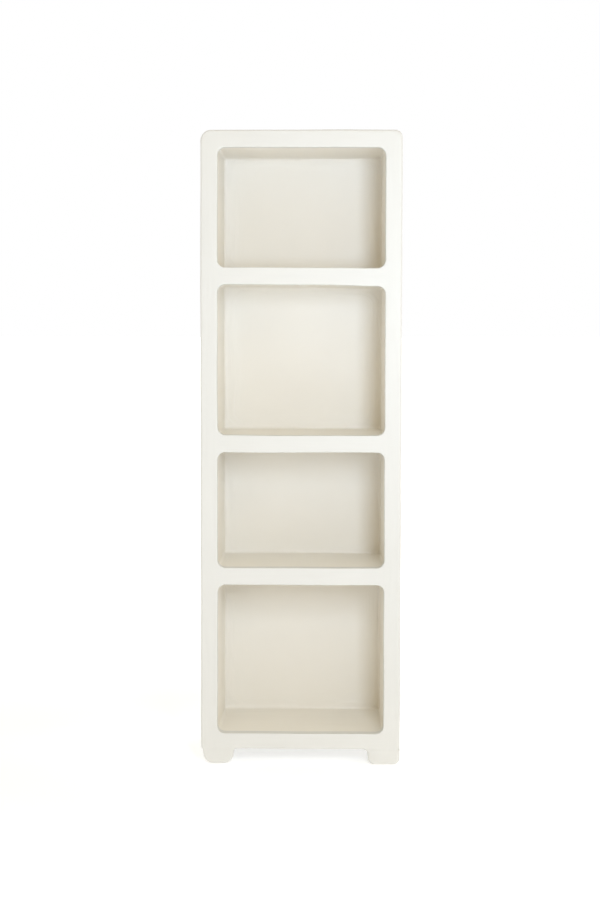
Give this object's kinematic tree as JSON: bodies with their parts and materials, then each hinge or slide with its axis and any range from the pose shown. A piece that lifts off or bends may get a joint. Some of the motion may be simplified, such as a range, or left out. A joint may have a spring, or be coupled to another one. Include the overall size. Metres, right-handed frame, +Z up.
{
  "type": "miniature bookcase",
  "caption": "Tall, narrow dolls' house bookcase in brushed off-white paint, with open compartments behind a round-cornered front frame, on low block feet.",
  "frame": {"origin": "on the ground under the centre of the case", "axes": "+Z up, the open front faces -Y, +X to the right of someone standing in front of it"},
  "size_m": [0.0552, 0.035, 0.175],
  "materials": {
    "painted_wood": "thick hand-brushed off-white paint, satin, with visible brush marks",
    "bare_birch": "plain, unpainted",
    "pin_steel": "bright drawn wire, painted over at the heads"
  },
  "bodies": {
    "root": {"front_frame": "painted_wood", "left_side": "painted_wood", "right_side": "painted_wood", "back_panel": "painted_wood", "bottom_board": "painted_wood", "lower_shelf": "painted_wood", "middle_shelf": "painted_wood", "upper_shelf": "painted_wood", "top_board": "painted_wood", "front_left_foot": "painted_wood", "front_right_foot": "painted_wood", "rear_left_foot": "painted_wood", "rear_right_foot": "painted_wood", "foot_dowels": "bare_birch", "frame_pins": "pin_steel", "back_pins": "pin_steel"}
  },
  "joints": []
}
